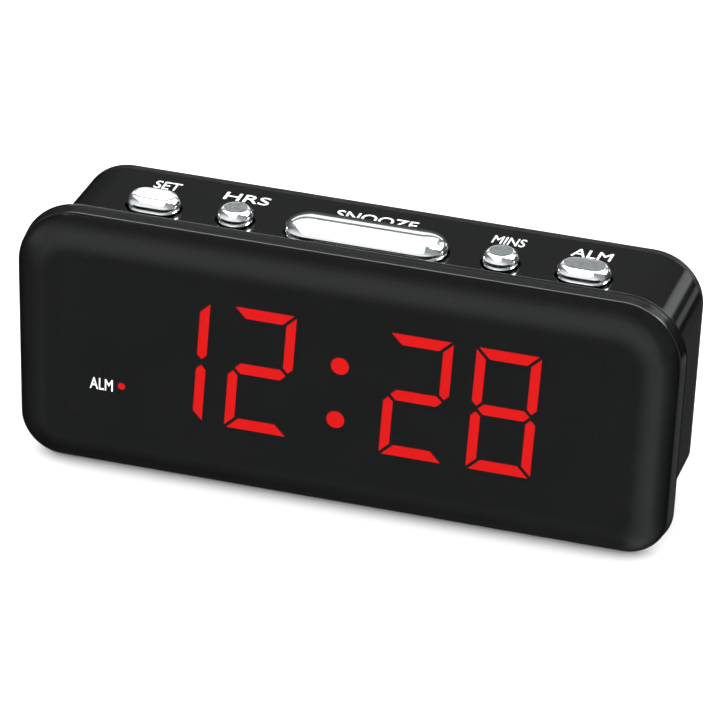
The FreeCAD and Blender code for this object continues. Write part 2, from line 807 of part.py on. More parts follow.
def make_key(name, x, y, long, wide, top):
    """A chrome cap that passes through the case, a flange that keeps it in, and a stem to its switch."""
    key = new_body(f"{name}_button")
    edge = "bar_edge" if name == "snooze" else "key_edge"
    cap = sketch_on(key, "XY_Plane", "flange_top")
    slot(cap, x, y, long, wide)
    pad(key, cap, f"{top} - flange_top", "up")
    round_edges(key, edge, edges_at("Z", top))
    flange = sketch_on(key, "XY_Plane", "flange_top")
    slot(flange, x, y, f"{long} + 2 * flange_reach", f"{wide} + 2 * flange_reach")
    pad(key, flange, "flange_thick", "down")
    stem = sketch_on(key, "XY_Plane", "flange_top - flange_thick")
    disc(stem, x, y, "stem_radius")
    pad(key, stem, "flange_top - flange_thick - plunger_top", "down")
    length = "plunger_top - plunger_foot"
    keep(rod("z", x, y, "plunger_foot", "plunger_radius", length), f"{name}_plunger")


def make_switch_bodies():
    """The five push switches' housings, each with a bore for its plunger."""
    base = "key_board_z + board_thick"
    housings = []
    for _, x, y, _, _, _ in KEYS:
        corner = f"({x}) - switch_side / 2", f"({y}) - switch_side / 2"
        housing = block(*corner, base, "switch_side", "switch_side", "switch_tall")
        bore = rod("z", x, y, "switch_floor", "plunger_radius + plunger_gap", "switch_tall")
        housings.append(cut(housing, bore))
    group("switch_bodies", housings)


def make_key_board():
    board = block(
        "-key_board_wide / 2",
        "key_y - key_board_deep / 2",
        "key_board_z",
        "key_board_wide",
        "key_board_deep",
        "board_thick",
    )
    holes = [rod("z", x, "key_y", "key_board_z", SCREW_HOLE, "board_thick") for x in KEY_POSTS]
    keep(cut(board, *holes), "key_board")
    screws = [screw("z", x, "key_y", "key_board_z", "key_screw_long", True, True) for x in KEY_POSTS]
    group("key_board_screws", screws)


# ---------------------------------------------------------------- display

LIT = {-1.5: "bc", -0.5: "abged", 0.5: "abged", 1.5: "abcdefg"}
BARS = "abcdefg"


def digit_centre(place):
    """X of a digit's middle: two pairs with the colon between them."""
    side = 1 if place > 0 else -1
    outer = abs(place) > 1
    return value("digit_shift") + side * (value("digit_middle") + (value("digit_pitch") if outer else 0))


def bar_corners(letter):
    """Corners of one bar of a seven-bar digit about the digit's middle, before the slant."""
    wide, tall = value("digit_wide") / 2, value("digit_tall") / 2
    upright, level = value("bar_thick") / 2, value("level_bar_thick") / 2
    gap, low = value("bar_gap"), value("bar_middle_gap")
    if letter in "ad":
        sign = 1 if letter == "a" else -1
        outer, inner = tall + level, tall - level
        long = wide + upright - gap
        short = long - 2 * level
        return [(-long, sign * outer), (long, sign * outer), (short, sign * inner), (-short, sign * inner)]
    if letter == "g":
        tip = wide - 2 * gap + low
        side = tip - level
        return [(-tip, 0), (-side, level), (side, level), (tip, 0), (side, -level), (-side, -level)]
    across = 1 if letter in "bc" else -1
    up = 1 if letter in "bf" else -1
    high = tall + level - gap
    return [
        (across * wide, up * low),
        (across * (wide + upright), up * (low + upright)),
        (across * (wide + upright), up * high),
        (across * (wide - upright), up * (high - 2 * upright)),
        (across * (wide - upright), up * (low + upright)),
    ]


def bar_solid(place, letter, front, deep):
    """One bar as a solid, slanted with its digit."""
    slope = value("tan(digit_slant * 1deg)")
    centre, middle = digit_centre(place), value("digit_z")
    corners = [FreeCAD.Vector(centre + x + z * slope, front, middle + z) for x, z in bar_corners(letter)]
    face = Part.Face(Part.makePolygon(corners + corners[:1]))
    return face.extrude(FreeCAD.Vector(0, deep, 0))


def make_bars(label, lit):
    """The lit or the dark bars of all four digits. Their corners are worked out from the sheet's values."""
    front, deep = value("seam_y + module_front"), value("bar_deep")
    solids = []
    for place, letters in LIT.items():
        chosen = [letter for letter in BARS if (letter in letters) == lit]
        solids += [bar_solid(place, letter, front, deep) for letter in chosen]
    feature = doc.addObject("Part::Feature", label)
    feature.Shape = Part.makeCompound(solids)
    return keep(feature, label)


def make_display():
    """The display module: a dark block with a window for each bar, its lights, its board and pins."""
    front = "seam_y + module_front"
    lit, dark = make_bars("lit_segments", True), make_bars("dark_segments", False)
    dots = []
    for sign in ("+", "-"):
        x = f"digit_shift {sign} colon_rise * tan(digit_slant * 1deg)"
        z = f"digit_z - colon_drop {sign} colon_rise"
        dots.append(rod("y", x, front, z, "colon_radius", "bar_deep"))
    colon = group("colon_dots", dots)
    alarm = rod("y", "alarm_dot_x", front, "digit_z - alarm_dot_drop", "alarm_dot_radius", "bar_deep")
    keep(alarm, "alarm_dot")
    case = block(
        "-module_wide / 2",
        front,
        "digit_z - module_tall / 2",
        "module_wide",
        "module_rear - module_front",
        "module_tall",
    )
    keep(cut(case, lit, dark, colon, alarm), "display_housing")
    board_front = "seam_y + module_rear"
    board = block(
        "-board_wide / 2",
        board_front,
        "digit_z - board_tall / 2",
        "board_wide",
        "board_thick",
        "board_tall",
    )
    holes = [rod("y", x, board_front, z, SCREW_HOLE, "board_thick") for x, z in BOARD_POSTS]
    keep(cut(board, *holes), "display_board")
    screws = [screw("y", x, board_front, z, "board_screw_long", True, True) for x, z in BOARD_POSTS]
    group("board_screws", screws)
    make_display_pins()


def make_display_pins():
    """The ends of the module's pins behind the board: a row over the digits and one under them."""
    upper_z = "key_board_z - upper_pin_drop"
    lower_z = "digit_z - module_tall / 2 + lower_pin_rise"
    pins = []
    for side in ("", "-"):
        places = [(f"{side}(upper_pin_x + {index} * upper_pin_pitch)", upper_z) for index in range(7)]
        places += [(f"{side}(lower_pin_x + {index} * lower_pin_pitch)", lower_z) for index in range(4)]
        pins += [rod("y", x, BOARD_REAR, z, "pin_radius", "pin_long") for x, z in places]
    group("display_pins", pins)


# ---------------------------------------------------------------- electronics


def make_clock_chip():
    """The clock's chip and its two rows of leads."""
    y = f"{BOARD_REAR} + chip_lift"
    keep(block("-chip_wide / 2", y, "chip_z", "chip_wide", "chip_deep", "chip_tall"), "clock_chip")
    leads = []
    for row in ("chip_z - lead_gap - lead_thick", "chip_z + chip_tall + lead_gap"):
        for index in range(14):
            x = f"({index} - 6.5) * lead_pitch - lead_wide / 2"
            leads.append(block(x, BOARD_REAR, row, "lead_wide", "lead_long", "lead_thick"))
    group("chip_leads", leads)


def make_board_parts():
    """What stands on the back of the display board."""
    make_clock_chip()
    keep(rod("y", "0", BOARD_REAR, "filter_z", "filter_radius", "filter_long"), "filter_capacitor")
    places = [("-14", "14"), ("-22", "20")]
    small = [rod("y", x, BOARD_REAR, z, "small_cap_radius", "small_cap_long") for x, z in places]
    group("small_capacitors", small)
    for label, kind, count in (("diodes", "diode", 4), ("resistors", "resistor", 7)):
        rods = []
        for index in range(count):
            height = f"{kind}_z + {index} * {kind}_pitch"
            y = f"{BOARD_REAR} + {kind}_radius"
            rods.append(rod("x", f"{kind}_x", y, height, f"{kind}_radius", f"{kind}_long"))
        group(label, rods)
    can = rod("y", "vent_x", BOARD_REAR, "buzzer_z", "buzzer_radius", "buzzer_long")
    hole_y = f"{BOARD_REAR} + buzzer_long - buzzer_hole"
    hole = rod("y", "vent_x", hole_y, "buzzer_z", "buzzer_hole", "buzzer_hole")
    keep(cut(can, hole), "buzzer")
    key_board_front = "key_y - key_board_deep / 2"
    bend_z = "ribbon_low + ribbon_thick"
    rise = f"key_board_z + board_thick - ({bend_z})"
    reach = f"{key_board_front} - {BOARD_REAR}"
    left, front = "-ribbon_wide / 2", f"{key_board_front} - ribbon_thick"
    upright = block(left, front, bend_z, "ribbon_wide", "ribbon_thick", rise)
    level = block(left, BOARD_REAR, "ribbon_low", "ribbon_wide", reach, "ribbon_thick")
    keep(fuse(upright, level), "ribbon_cable")


def make_transformer():
    """A small laminated transformer: core, winding on its bobbin, strap and screws."""
    front, side = "seam_y + core_front", "core_x - core_wide / 2"
    inner_z, inner_tall = "core_z + core_yoke", "core_tall - 2 * core_yoke"
    leg = "core_wide / 6"
    core = block(side, front, "core_z", "core_wide", "core_deep", "core_tall")
    windows = [
        block(f"{side} + {place}", front, inner_z, leg, "core_deep", inner_tall)
        for place in (leg, f"core_wide - 2 * {leg}")
    ]
    keep(cut(core, *windows), "transformer_core")
    coil = block(
        f"{side} + {leg}",
        f"{front} - bobbin_reach",
        inner_z,
        f"core_wide - 2 * {leg}",
        "core_deep + 2 * bobbin_reach",
        inner_tall,
    )
    middle = block(f"{side} + 2 * {leg}", front, inner_z, f"core_wide - 4 * {leg}", "core_deep", inner_tall)
    keep(cut(coil, middle), "transformer_winding")
    make_transformer_strap(side)
    reach = f"{front} - bobbin_reach - {BOARD_REAR}"
    leads = [
        rod("y", x, BOARD_REAR, "core_z + wire_rise", "wire_radius", reach)
        for x in ("core_x - wire_apart", "core_x")
    ]
    group("transformer_wires", leads)


def make_transformer_strap(side):
    """The steel strap over the core, and the two screws through its feet."""
    right = "core_x + core_wide / 2"
    strap_y = f"{LUG_Y} - strap_deep / 2"
    height = "core_tall + strap_lap"
    over = "core_wide + 2 * strap_thick"
    strap = [
        block(f"{side} - strap_thick", strap_y, "core_z + core_tall", over, "strap_deep", "strap_thick"),
        block(f"{side} - strap_thick", strap_y, "core_z", "strap_thick", "strap_deep", height),
        block(right, strap_y, "core_z", "strap_thick", "strap_deep", height),
        block(f"{side} - strap_foot", strap_y, "core_z", "strap_foot", "strap_deep", "strap_thick"),
        block(right, strap_y, "core_z", "strap_foot", "strap_deep", "strap_thick"),
    ]
    holes = [rod("z", x, LUG_Y, "core_z", SCREW_HOLE, "strap_thick") for x in LUGS]
    keep(cut(fuse(*strap), *holes), "transformer_strap")
    start = "core_z + strap_thick - lug_screw_long"
    screws = [screw("z", x, LUG_Y, start, "lug_screw_long", True, False) for x in LUGS]
    group("transformer_screws", screws)


def make_battery_parts():
    """The battery's contact plate with its two studs, and the wires from it to the display board."""
    height = "bay_tall - 2 * contact_edge"
    middle = "bay_z + bay_tall / 2"
    bay_start = "seam_y + bay_front"
    plate = block(
        "bay_x",
        f"{bay_start} + contact_edge",
        "bay_z + contact_edge",
        "contact_thick",
        "contact_deep",
        height,
    )
    studs = [
        rod(
            "x",
            "bay_x + contact_thick",
            f"{bay_start} + stud_y",
            f"{middle} {side} stud_apart / 2",
            "stud_radius",
            "stud_long",
        )
        for side in ("-", "+")
    ]
    keep(fuse(plate, *studs), "battery_contact")
    x = "bay_x - bay_wall - 2 * wire_radius"
    hole_y = f"{bay_start} + wire_hole_deep"
    wires = []
    for side in ("-", "+"):
        z = f"{middle} {side} 4 / 3 * wire_radius"
        along = rod("y", x, BOARD_REAR, z, "wire_radius", f"{hole_y} + wire_radius - {BOARD_REAR}")
        across = rod("x", x, hole_y, z, "wire_radius", "bay_wall + 2 * wire_radius")
        wires.append(fuse(along, across))
    group("battery_wires", wires)


def make_alarm_switch():
    """The slide switch behind the cover, and its lever, which stands in the cover's slot."""
    inside = f"{COVER_BACK} - cover_wall"
    body = block(
        "slide_x - switch_body_wide / 2",
        f"{inside} - switch_body_deep",
        "slide_z - switch_body_tall / 2",
        "switch_body_wide",
        "switch_body_deep",
        "switch_body_tall",
    )
    corner_x, corner_z = LEVER_CORNER
    room_tall, room_front = "lever_tall + 2 * lever_play", f"{inside} - switch_room_deep"
    room = block(corner_x, room_front, corner_z, LEVER_WAY, "switch_room_deep", room_tall)
    keep(cut(body, room), "alarm_switch_body")
    lever = fuse(
        block(
            "slide_x - lever_wide",
            f"{inside} - lever_front",
            "slide_z - lever_tall / 2",
            "lever_wide",
            "lever_deep",
            "lever_tall",
        ),
        block(
            "slide_x - lever_wide + lever_tip_edge",
            f"{inside} - lever_front + lever_deep - lever_tip_deep / 2",
            "slide_z - lever_tall / 2 + lever_tip_side",
            "lever_wide - 2 * lever_tip_edge",
            "lever_tip_deep",
            "lever_tall - 2 * lever_tip_side",
        ),
    )
    keep(lever, "alarm_switch_lever")


def make_rear_parts():
    """The cord inlet's grommet and the cover's screws."""
    inside = f"{COVER_BACK} - cover_wall"
    flange_start = f"{inside} - grommet_deep"
    flange = rod("y", "inlet_x", flange_start, "inlet_z", "inlet_radius + grommet_reach", "grommet_deep")
    neck = rod("y", "inlet_x", inside, "inlet_z", "inlet_radius", "cover_wall")
    bore = rod("y", "inlet_x", flange_start, "inlet_z", "inlet_bore", "cover_wall + grommet_deep")
    keep(cut(fuse(flange, neck), bore), "cord_grommet")
    start = "seam_y + case_end - cover_screw_bite"
    reach = "cover_end - screw_head_tall - screw_head_sunk - case_end + cover_screw_bite"
    group("cover_screws", [screw("y", x, start, z, reach, False, False) for x, z in COVER_POSTS])


def make_feet():
    """Two rubber feet at the back, level with the front frame's lower edge."""
    feet = []
    for side in ("", "-"):
        place = f"{side}foot_x", "seam_y + foot_deep"
        pad_disc = rod("z", *place, "0", "foot_radius", "foot_tall")
        stem = rod("z", *place, "0", "foot_stem_radius", "foot_tall + foot_stem_long")
        feet.append(fuse(pad_disc, stem))
    group("rubber_feet", feet)


# ---------------------------------------------------------------- build, check and write


def build():
    make_front_lens()
    make_front_frame()
    make_main_case()
    make_rear_cover()
    make_battery_door()
    for key in KEYS:
        make_key(*key)
    make_switch_bodies()
    make_key_board()
    make_display()
    make_board_parts()
    make_transformer()
    make_battery_parts()
    make_alarm_switch()
    make_rear_parts()
    make_feet()
    doc.recompute()


def check():
    """Stops on a failed object, or on a sub-part without a sound shape."""
    for item in doc.Objects:
        faults = {"Invalid", "Error"} & set(item.State)
        if faults:
            raise RuntimeError(f"{item.Label} is {faults}")
    for item in NODES:
        if item.Shape.isNull() or not item.Shape.isValid() or not item.Shape.Solids:
            raise RuntimeError(f"{item.Label} has no sound solid")


def write():
    os.makedirs("parts", exist_ok=True)
    for item in NODES:
        item.Shape.exportStep(os.path.join("parts", f"{item.Label}.step"))


build()
check()
write()
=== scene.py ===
"""Looks of the LED alarm clock: finer meshes for the lens, front frame and keys, printed words, a finish for
every piece, and the studio around them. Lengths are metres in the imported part's frame: X to the right as seen
from the front, +Y to the back, +Z up, the floor at Z = 0. Patterns on surfaces are written in millimetres.
"""

import json
from math import atan, cos, inf, pi, radians, sin, tan

import bmesh
import bpy
from mathutils import Matrix, Vector
from mathutils.geometry import delaunay_2d_cdt


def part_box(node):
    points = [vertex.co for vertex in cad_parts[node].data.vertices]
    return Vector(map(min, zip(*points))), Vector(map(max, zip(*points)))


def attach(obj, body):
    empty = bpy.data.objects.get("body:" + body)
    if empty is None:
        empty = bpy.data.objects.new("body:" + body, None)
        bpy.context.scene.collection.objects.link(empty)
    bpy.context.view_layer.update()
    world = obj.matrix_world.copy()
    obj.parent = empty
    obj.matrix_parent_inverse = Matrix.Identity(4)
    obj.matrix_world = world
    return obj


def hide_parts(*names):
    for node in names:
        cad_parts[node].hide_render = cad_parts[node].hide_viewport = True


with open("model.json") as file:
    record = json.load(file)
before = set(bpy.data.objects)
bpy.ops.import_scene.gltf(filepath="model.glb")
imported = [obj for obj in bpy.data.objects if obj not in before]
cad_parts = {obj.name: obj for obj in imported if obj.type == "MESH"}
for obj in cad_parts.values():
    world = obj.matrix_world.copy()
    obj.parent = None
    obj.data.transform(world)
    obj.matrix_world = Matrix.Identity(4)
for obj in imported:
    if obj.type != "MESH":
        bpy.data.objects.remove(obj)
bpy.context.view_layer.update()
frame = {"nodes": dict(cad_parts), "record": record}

MM = 0.001
DEGREES = 180 / pi  # in one radian

# Outline of the front, seen from the front. Its sides lean in towards the bottom.
LENS_LOW, LENS_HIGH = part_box("front_lens")
FRAME_LOW, FRAME_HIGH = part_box("front_frame")
TOP, BOTTOM = LENS_HIGH.z, LENS_LOW.z
CORNER_TOP, CORNER_BOTTOM = 14.1 * MM, 10.0 * MM
SIDE_SLOPE = 1.55 / 61.8  # how much the sides lean inwards for each unit of drop
TILT = atan(SIDE_SLOPE)
# Half the width that the outline would have at the top if its upper corners were sharp.
HALF_WIDE = LENS_HIGH.x + SIDE_SLOPE * CORNER_TOP + CORNER_TOP / cos(TILT) - CORNER_TOP

# Depths of the front's parts. The face lies back by the thickness of the ink that is printed on it.
INK = 0.02 * MM
FACE = LENS_LOW.y + INK
SEAM = FRAME_LOW.y
FRAME_BACK = FRAME_HIGH.y
LIP_BACK = LENS_HIGH.y

# The lens: an arc rolls from its flat middle to just short of the seam, and a lip behind goes into the frame.
# Insets are measured from the outline: to the lip's outside, and to the wall of the hollow.
RIM_WIDE = 8.4 * MM
RIM_DEEP = SEAM - FACE
RIM_RADIUS = (RIM_WIDE**2 + RIM_DEEP**2) / (2 * RIM_DEEP)
RIM_STEPS = 30
LENS_BACK = SEAM - 0.06 * MM
LENS_WALL = 2.0 * MM
LIP_INSET = 3.8 * MM
HOLLOW_INSET = 5.6 * MM
LIP_ROUND = 0.2 * MM

# The frame: the opening for the lip, and how far its rear edge stands outside the seam, as a negative inset.
FRAME_OPENING = 3.7 * MM
FLARE = TOP - FRAME_HIGH.z
EDGE_ROUND = 0.32 * MM  # of lens and frame at the seam

# The case's top falls slightly from the frame to the cover.
CASE_HIGH, COVER_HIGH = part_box("main_case")[1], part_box("rear_cover")[1]
TOP_SLOPE = (COVER_HIGH.z - CASE_HIGH.z) / (CASE_HIGH.y - FRAME_BACK)

# Fineness of meshes.
CORNER_STEPS = 28
EDGE_STEPS = 5
WELD = 1e-7
NEARLY_STRAIGHT = 1e-3  # in radians: a corner that turns by less than twice this isn't rounded
SHARP_ANGLE = radians(32)


def top_z(y):
    """Height of the case's top at a depth."""
    return CASE_HIGH.z + TOP_SLOPE * (y - FRAME_BACK)


# ---------------------------------------------------------------- patterns


class Field:
    """A number that changes over a surface: a socket of a node tree, for use in arithmetic."""

    def __init__(self, tree, socket):
        self.tree, self.socket = tree, socket

    def math(self, operation, *others):
        node = self.tree.nodes.new("ShaderNodeMath")
        node.operation = operation
        for slot, item in zip(node.inputs, (self, *others)):
            connect(self.tree, item, slot)
        return Field(self.tree, node.outputs[0])

    def __add__(self, other):
        return self.math("ADD", other)

    def __sub__(self, other):
        return self.math("SUBTRACT", other)

    def __mul__(self, other):
        return self.math("MULTIPLY", other)

    def __neg__(self):
        return self * -1

    __radd__, __rmul__ = __add__, __mul__

    def __rsub__(self, other):
        return -self + other

    def size(self):
        """The number without its sign."""
        return self.math("ABSOLUTE")

    def most(self, other):
        """The larger of two numbers."""
        return self.math("MAXIMUM", other)

    def step(self, start, end):
        """Rises softly from 0 to 1 between start and end, or falls if start is the larger."""
        node = self.tree.nodes.new("ShaderNodeMapRange")
        node.interpolation_type = "SMOOTHSTEP"
        connect(self.tree, self, node.inputs["Value"])
        node.inputs["From Min"].default_value = start
        node.inputs["From Max"].default_value = end
        return Field(self.tree, node.outputs["Result"])

    def bump(self, start, end, soft):
        """1 between start and end with soft flanks, 0 outside them."""
        return self.step(start - soft, start + soft) * self.step(end + soft, end - soft)

    def repeat(self, pitch):
        """Distance from the middle of the nearest of a row of stripes, which are pitch apart."""
        return (self.math("PINGPONG", pitch) - pitch / 2).size()


def connect(tree, item, slot):
    """Links a field to an input, or sets the input to a plain number."""
    if isinstance(item, Field):
        tree.links.new(item.socket, slot)
    else:
        slot.default_value = item


def split(tree, vector):
    """X, Y and Z of a vector's socket, as fields."""
    node = tree.nodes.new("ShaderNodeSeparateXYZ")
    tree.links.new(vector, node.inputs[0])
    return [Field(tree, socket) for socket in node.outputs]


# Sockets of the node that mixes two colours.
MIX_AMOUNT, MIX_UNDER, MIX_OVER, MIX_RESULT = 0, 6, 7, 2


class Finish:
    """A Principled material whose patterns use the piece's own X, Y and Z in millimetres."""

    def __init__(self, name, **constants):
        self.material = bpy.data.materials.new(name)
        self.material.use_nodes = True
        self.tree = self.material.node_tree
        self.shader = self.tree.nodes["Principled BSDF"]
        for words, number in constants.items():
            self.shader.inputs[words.replace("_", " ")].default_value = number
        source = self.tree.nodes.new("ShaderNodeTexCoord")
        scale = self.tree.nodes.new("ShaderNodeVectorMath")
        scale.operation = "SCALE"
        scale.inputs["Scale"].default_value = 1 / MM
        self.tree.links.new(source.outputs["Object"], scale.inputs[0])
        self.place = scale.outputs[0]
        self.x, self.y, self.z = split(self.tree, self.place)

    def noise(self, lump, detail=2.0, stretch=(1, 1, 1)):
        """Cloudy noise about 0.5, in lumps of about so many millimetres, times stretch along X, Y and Z."""
        squeeze = self.tree.nodes.new("ShaderNodeVectorMath")
        squeeze.operation = "DIVIDE"
        squeeze.inputs[1].default_value = stretch
        self.tree.links.new(self.place, squeeze.inputs[0])
        node = self.tree.nodes.new("ShaderNodeTexNoise")
        node.inputs["Scale"].default_value = 1 / lump
        node.inputs["Detail"].default_value = detail
        self.tree.links.new(squeeze.outputs[0], node.inputs["Vector"])
        return Field(self.tree, node.outputs[0])

    def cells(self, size):
        """Distance from the nearest of scattered points, about size millimetres apart, as a part of size."""
        node = self.tree.nodes.new("ShaderNodeTexVoronoi")
        node.inputs["Scale"].default_value = 1 / size
        self.tree.links.new(self.place, node.inputs["Vector"])
        return Field(self.tree, node.outputs["Distance"])

    def colour(self, *stops, socket="Base Color"):
        """Colours the surface: one colour, then (field, colour) pairs that cover it where the field is 1."""
        under = stops[0]
        for amount, colour in stops[1:]:
            mix = self.tree.nodes.new("ShaderNodeMix")
            mix.data_type = "RGBA"
            connect(self.tree, amount, mix.inputs[MIX_AMOUNT])
            for slot, item in ((mix.inputs[MIX_UNDER], under), (mix.inputs[MIX_OVER], colour)):
                if isinstance(item, Field):
                    self.tree.links.new(item.socket, slot)
                else:
                    slot.default_value = (*item, 1)
            under = Field(self.tree, mix.outputs[MIX_RESULT])
        self.tree.links.new(under.socket, self.shader.inputs[socket])
        return self

    def rough(self, field):
        """Sets how dull the surface is, from 0 for a mirror to 1."""
        self.tree.links.new(field.socket, self.shader.inputs["Roughness"])
        return self

    def relief(self, field, height):
        """Raises the surface by so many millimetres where the field is 1."""
        node = self.tree.nodes.new("ShaderNodeBump")
        node.inputs["Distance"].default_value = height * MM
        self.tree.links.new(field.socket, node.inputs["Height"])
        self.tree.links.new(node.outputs[0], self.shader.inputs["Normal"])
        return self


# ---------------------------------------------------------------- finishes


def smoked_lens():
    """Near-black plastic that lets light from behind through, with a very faint ripple."""
    finish = Finish("smoked_lens", Alpha=0.80, IOR=1.49)
    finish.colour((0.0010, 0.0011, 0.0012), (finish.noise(9).step(0.3, 0.7), (0.0018, 0.0019, 0.0020)))
    finish.rough(0.10 + 0.05 * finish.noise(2.5, 3))
    return finish.relief(finish.noise(3.5, 1), 0.0010)


def black_gloss():
    """Polished black plastic with fine specks."""
    finish = Finish("black_gloss", IOR=1.5)
    speck = finish.noise(0.35, 3)
    finish.colour((0.0015, 0.0015, 0.0016), (speck.step(0.45, 0.75), (0.0030, 0.0030, 0.0031)))
    finish.rough(0.09 + 0.08 * speck)
    return finish.relief(0.6 * speck + 0.4 * finish.noise(1.6), 0.0012)


def black_satin():
    """Black plastic with the fine pitted grain of its mould."""
    finish = Finish("black_satin", IOR=1.48)
    pits = finish.cells(0.42)
    finish.colour((0.003, 0.003, 0.0032), (finish.noise(5, 4).step(0.35, 0.7), (0.006, 0.006, 0.0062)))
    finish.rough(0.24 + 0.12 * finish.noise(0.6, 3))
    return finish.relief(pits + 0.5 * finish.noise(0.25), 0.004)


def chrome_plate():
    """Bright plating over moulded plastic, not quite even."""
    finish = Finish("chrome_plate", Metallic=1.0)
    finish.colour((0.86, 0.88, 0.89), (finish.noise(1.4, 4).step(0.45, 0.8), (0.78, 0.80, 0.82)))
    finish.rough(0.035 + 0.05 * finish.noise(0.9, 3))
    return finish.relief(finish.noise(1.3, 2), 0.006)


def chrome_satin():
    """Plating with a fine dull grain, for the flat tops of small keys."""
    finish = Finish("chrome_satin", Metallic=1.0)
    grain, cloud = finish.noise(0.22, 4), finish.noise(1.6, 2)
    finish.colour(
        (0.29, 0.31, 0.315),
        (grain.step(0.4, 0.75), (0.22, 0.24, 0.245)),
        (cloud.step(0.5, 0.75), (0.17, 0.19, 0.195)),
    )
    finish.rough(0.16 + 0.10 * grain)
    return finish.relief(grain, 0.004)


def module_black():
    """Matt plastic of the display block."""
    finish = Finish("module_black")
    finish.colour((0.006, 0.006, 0.006), (finish.noise(1.2, 3).step(0.4, 0.7), (0.012, 0.012, 0.012)))
    finish.rough(0.55 + 0.2 * finish.noise(0.8))
    return finish.relief(finish.noise(0.4), 0.01)


def red_light():
    """Lit bars and dots: glowing red, a little cloudy."""
    finish = Finish("red_light", Emission_Strength=19.6, Roughness=0.4)
    glow = finish.noise(1.1, 3)
    finish.colour((0.7, 0.0, 0.0), (glow.step(0.3, 0.8), (0.5, 0.0, 0.0)))
    return finish.colour((1.0, 0.0, 0.0), (glow.step(0.35, 0.8), (0.93, 0.0, 0.0)), socket="Emission Color")


def red_dark():
    """Bars that are not lit."""
    finish = Finish("red_dark")
    finish.colour((0.02, 0.004, 0.004), (finish.noise(0.9, 3).step(0.4, 0.7), (0.028, 0.006, 0.006)))
    return finish.rough(0.35 + 0.2 * finish.noise(0.6))


def circuit_board():
    """Green solder mask over copper tracks, with tinned pads."""
    finish = Finish("circuit_board", IOR=1.5)
    tracks = finish.x.repeat(1.27).step(0.42, 0.34) * finish.noise(9, 1).step(0.48, 0.52)
    crossing = finish.z.repeat(1.905).step(0.50, 0.40) * finish.noise(13, 1).step(0.50, 0.54)
    pads = finish.cells(2.9).step(0.20, 0.17)
    lines = tracks.most(crossing)
    finish.colour((0.018, 0.085, 0.030), (lines, (0.035, 0.150, 0.050)), (pads, (0.55, 0.54, 0.50)))
    finish.rough(0.28 + 0.2 * finish.noise(1.5, 3))
    return finish.relief(lines.most(pads), 0.03)


def component_black():
    """Moulded plastic and resin of switches, chips and other small parts."""
    finish = Finish("component_black")
    finish.colour((0.016, 0.016, 0.017), (finish.noise(0.7, 4).step(0.4, 0.8), (0.034, 0.034, 0.035)))
    finish.rough(0.42 + 0.25 * finish.noise(0.5, 3))
    return finish.relief(finish.noise(0.22, 3), 0.010)


def component_tan():
    """Resistor lacquer with coloured bands across it."""
    finish = Finish("component_tan", IOR=1.5)
    band = finish.z.repeat(0.85).step(0.30, 0.24)
    finish.colour((0.52, 0.36, 0.20), (finish.noise(1.5, 3), (0.62, 0.46, 0.28)), (band, (0.23, 0.03, 0.015)))
    finish.rough(0.25 + 0.25 * finish.noise(0.8))
    return finish.relief(finish.noise(0.7, 3), 0.03)


def capacitor_sleeve():
    """Dark blue sleeve with pale stripes."""
    finish = Finish("capacitor_sleeve", IOR=1.5)
    stripe = finish.x.repeat(4).step(0.9, 0.7)
    finish.colour(
        (0.012, 0.022, 0.075),
        (finish.noise(2, 3), (0.020, 0.034, 0.10)),
        (stripe, (0.50, 0.52, 0.55)),
    )
    finish.rough(0.22 + 0.2 * finish.noise(1.2, 3))
    return finish.relief(finish.noise(1.6, 2), 0.03)


def tinned_steel():
    """Bare metal with drawing streaks along Y."""
    finish = Finish("tinned_steel", Metallic=1.0)
    drawn = finish.noise(0.25, 4, (1, 6, 1))
    finish.colour((0.50, 0.50, 0.49), (drawn.step(0.3, 0.8), (0.66, 0.66, 0.64)))
    finish.rough(0.22 + 0.25 * drawn)
    return finish.relief(drawn, 0.004)


def lamination():
    """Stacked steel sheets, a quarter of a millimetre each, seen at their edges."""
    finish = Finish("lamination", Metallic=0.85)
    joint = finish.y.repeat(0.25).step(0.035, 0.0)
    finish.colour((0.20, 0.19, 0.18), (finish.noise(1.4, 4), (0.13, 0.12, 0.11)), (joint, (0.03, 0.03, 0.03)))
    finish.rough(0.40 + 0.25 * finish.noise(0.8, 3))
    return finish.relief(-joint, 0.05)


def winding_tape():
    """Yellow tape, with a dark line where one lap ends on the next."""
    finish = Finish("winding_tape", IOR=1.5)
    lap = finish.x.repeat(2.2).step(0.12, 0.0)
    finish.colour((0.62, 0.42, 0.05), (finish.noise(2.2, 3), (0.72, 0.52, 0.09)), (lap, (0.34, 0.22, 0.03)))
    finish.rough(0.28 + 0.2 * finish.noise(1.1, 3))
    return finish.relief(finish.noise(2.4, 3) - lap, 0.08)


def wire_red():
    """Insulation of the leads."""
    finish = Finish("wire_red", IOR=1.5)
    finish.colour((0.36, 0.012, 0.012), (finish.noise(0.8, 3).step(0.3, 0.8), (0.50, 0.03, 0.025)))
    finish.rough(0.32 + 0.2 * finish.noise(0.6))
    return finish.relief(finish.noise(0.5, 3), 0.01)


def ribbon_grey():
    """Flat cable: a rib for each wire, with a real groove between ribs and painted shade darkening each groove.
    """
    finish = Finish("ribbon_grey", IOR=1.5)
    groove = finish.x.repeat(0.635).step(0.10, 0.0)
    finish.colour(
        (0.34, 0.34, 0.35),
        (finish.noise(1.5, 3), (0.42, 0.42, 0.43)),
        # painted shade: the groove between ribs is coloured a darker grey, standing in for the shade in the
        # recess
        (groove, (0.16, 0.16, 0.17)),
    )
    finish.rough(0.38 + 0.2 * finish.noise(0.7))
    return finish.relief(-groove, 0.2)


def rubber_black():
    """Dull rubber, slightly dusty."""
    finish = Finish("rubber_black")
    finish.colour((0.014, 0.014, 0.014), (finish.noise(2.4, 4).step(0.35, 0.7), (0.028, 0.027, 0.026)))
    finish.rough(0.68 + 0.2 * finish.noise(0.5, 3))
    return finish.relief(finish.noise(0.3, 3), 0.02)


